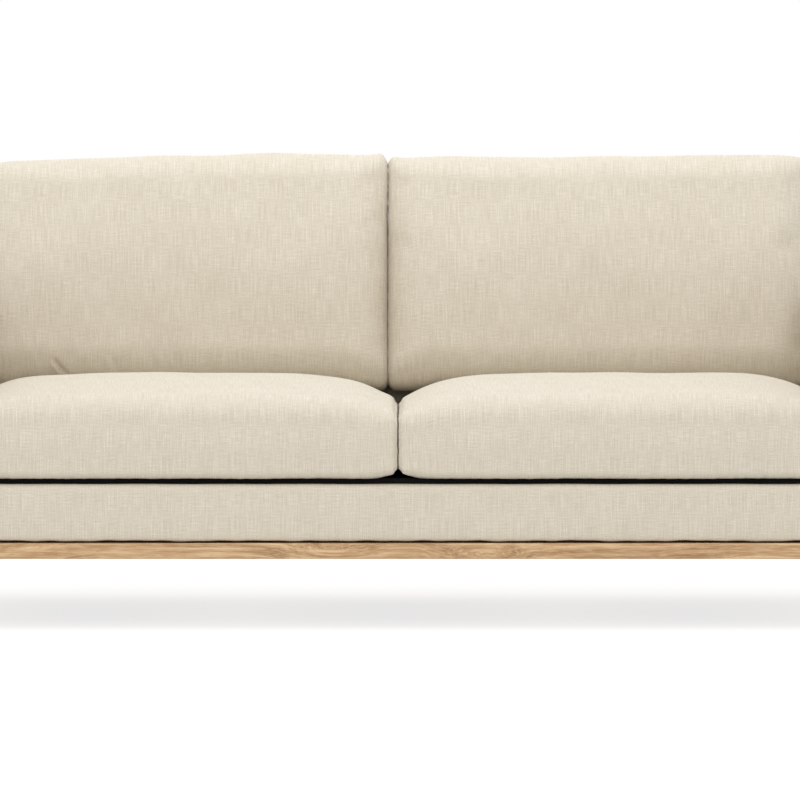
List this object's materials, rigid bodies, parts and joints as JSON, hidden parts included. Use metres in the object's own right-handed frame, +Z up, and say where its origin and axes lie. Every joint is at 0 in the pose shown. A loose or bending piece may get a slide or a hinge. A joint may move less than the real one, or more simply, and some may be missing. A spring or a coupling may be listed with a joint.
{
  "type": "sofa",
  "caption": "Upholstered sofa with block arms, a leaning back and loose boxed seat and back cushions, on an oak base frame with turned oak legs.",
  "frame": {"origin": "on the floor, under the middle of the sofa's width and depth", "axes": "+X to the right of someone who faces the sofa, +Y to its back, +Z up"},
  "size_m": [1.94, 0.88, 0.8736],
  "materials": {
    "linen_weave": "woven, matt",
    "lacquered_oak": "clear matt lacquer",
    "pine_timber": "sawn",
    "beech_tenon": "planed",
    "hardboard": "pressed fibre",
    "black_spacer": "black stain",
    "upholstery_foam": "open cell",
    "cushion_foam": "open cell in a fibre wrap",
    "fibre_filling": "loose fibre in a cambric case",
    "rebonded_foam": "pressed flakes",
    "black_deck_cloth": "nonwoven",
    "black_dust_cloth": "nonwoven",
    "elastic_webbing": "woven",
    "spring_steel": "drawn wire",
    "zinc_steel": "zinc plated",
    "brass_insert": "turned",
    "spring_clip_plastic": "moulded",
    "nylon_glide": "moulded",
    "zip_tape": "woven tape with nylon teeth",
    "zip_metal": "nickel coloured"
  },
  "bodies": {
    "frame": {"arm_boards": "hardboard", "arm_left_cover": "linen_weave", "arm_left_foam": "upholstery_foam", "arm_left_posts": "pine_timber", "arm_left_rails": "pine_timber", "arm_right_cover": "linen_weave", "arm_right_foam": "upholstery_foam", "arm_right_posts": "pine_timber", "arm_right_rails": "pine_timber", "back_bottom_rail": "pine_timber", "back_cover": "linen_weave", "back_foam": "upholstery_foam", "back_stiles": "pine_timber", "back_top_rail": "pine_timber", "back_webbing": "elastic_webbing", "base_screws": "zinc_steel", "cross_bearers": "pine_timber", "dust_cover": "black_dust_cloth", "frame_bolts": "zinc_steel", "front_base_rail": "lacquered_oak", "front_rail_cover": "linen_weave", "front_rail_foam": "upholstery_foam", "left_base_rail": "lacquered_oak", "leg_front_left": "lacquered_oak", "leg_front_right": "lacquered_oak", "leg_glides": "nylon_glide", "leg_hanger_bolts": "zinc_steel", "leg_insert_nuts": "brass_insert", "leg_rear_left": "lacquered_oak", "leg_rear_right": "lacquered_oak", "mitre_tenons": "beech_tenon", "rear_base_rail": "lacquered_oak", "right_base_rail": "lacquered_oak", "seat_centre_rail": "pine_timber", "seat_corner_blocks": "pine_timber", "seat_deck_cloth": "black_deck_cloth", "seat_deck_pad": "rebonded_foam", "seat_front_rail": "pine_timber", "seat_left_rail": "pine_timber", "seat_rear_rail": "pine_timber", "seat_right_rail": "pine_timber", "seat_springs": "spring_steel", "shadow_gap_spacers": "black_spacer", "spring_clips": "spring_clip_plastic"},
    "seat_cushion_left": {"seat_cushion_left_cover": "linen_weave", "seat_cushion_left_foam": "cushion_foam", "seat_cushion_left_zip": "zip_tape"},
    "seat_cushion_left_zip_slider": {"seat_cushion_left_zip_slider": "zip_metal"},
    "back_cushion_left": {"back_cushion_left_cover": "linen_weave", "back_cushion_left_filling": "fibre_filling", "back_cushion_left_zip": "zip_tape"},
    "back_cushion_left_zip_slider": {"back_cushion_left_zip_slider": "zip_metal"},
    "seat_cushion_right": {"seat_cushion_right_cover": "linen_weave", "seat_cushion_right_foam": "cushion_foam", "seat_cushion_right_zip": "zip_tape"},
    "seat_cushion_right_zip_slider": {"seat_cushion_right_zip_slider": "zip_metal"},
    "back_cushion_right": {"back_cushion_right_cover": "linen_weave", "back_cushion_right_filling": "fibre_filling", "back_cushion_right_zip": "zip_tape"},
    "back_cushion_right_zip_slider": {"back_cushion_right_zip_slider": "zip_metal"}
  },
  "joints": [
    {"name": "seat_cushion_left_slide", "type": "slide", "parent": "frame", "child": "seat_cushion_left", "axis": [0, -1, 0], "range_m": [0, 0.7]},
    {"name": "back_cushion_left_lift", "type": "slide", "parent": "frame", "child": "back_cushion_left", "axis": [0, 0, 1], "range_m": [0, 0.45]},
    {"name": "seat_cushion_left_zip_slide", "type": "slide", "parent": "seat_cushion_left", "child": "seat_cushion_left_zip_slider", "axis": [1, 0, 0], "range_m": [0, 0.6]},
    {"name": "back_cushion_left_zip_slide", "type": "slide", "parent": "back_cushion_left", "child": "back_cushion_left_zip_slider", "axis": [1, 0, 0], "range_m": [0, 0.6]},
    {"name": "seat_cushion_right_slide", "type": "slide", "parent": "frame", "child": "seat_cushion_right", "axis": [0, -1, 0], "range_m": [0, 0.7]},
    {"name": "back_cushion_right_lift", "type": "slide", "parent": "frame", "child": "back_cushion_right", "axis": [0, 0, 1], "range_m": [0, 0.45]},
    {"name": "seat_cushion_right_zip_slide", "type": "slide", "parent": "seat_cushion_right", "child": "seat_cushion_right_zip_slider", "axis": [1, 0, 0], "range_m": [0, 0.6]},
    {"name": "back_cushion_right_zip_slide", "type": "slide", "parent": "back_cushion_right", "child": "back_cushion_right_zip_slider", "axis": [1, 0, 0], "range_m": [0, 0.6]}
  ]
}
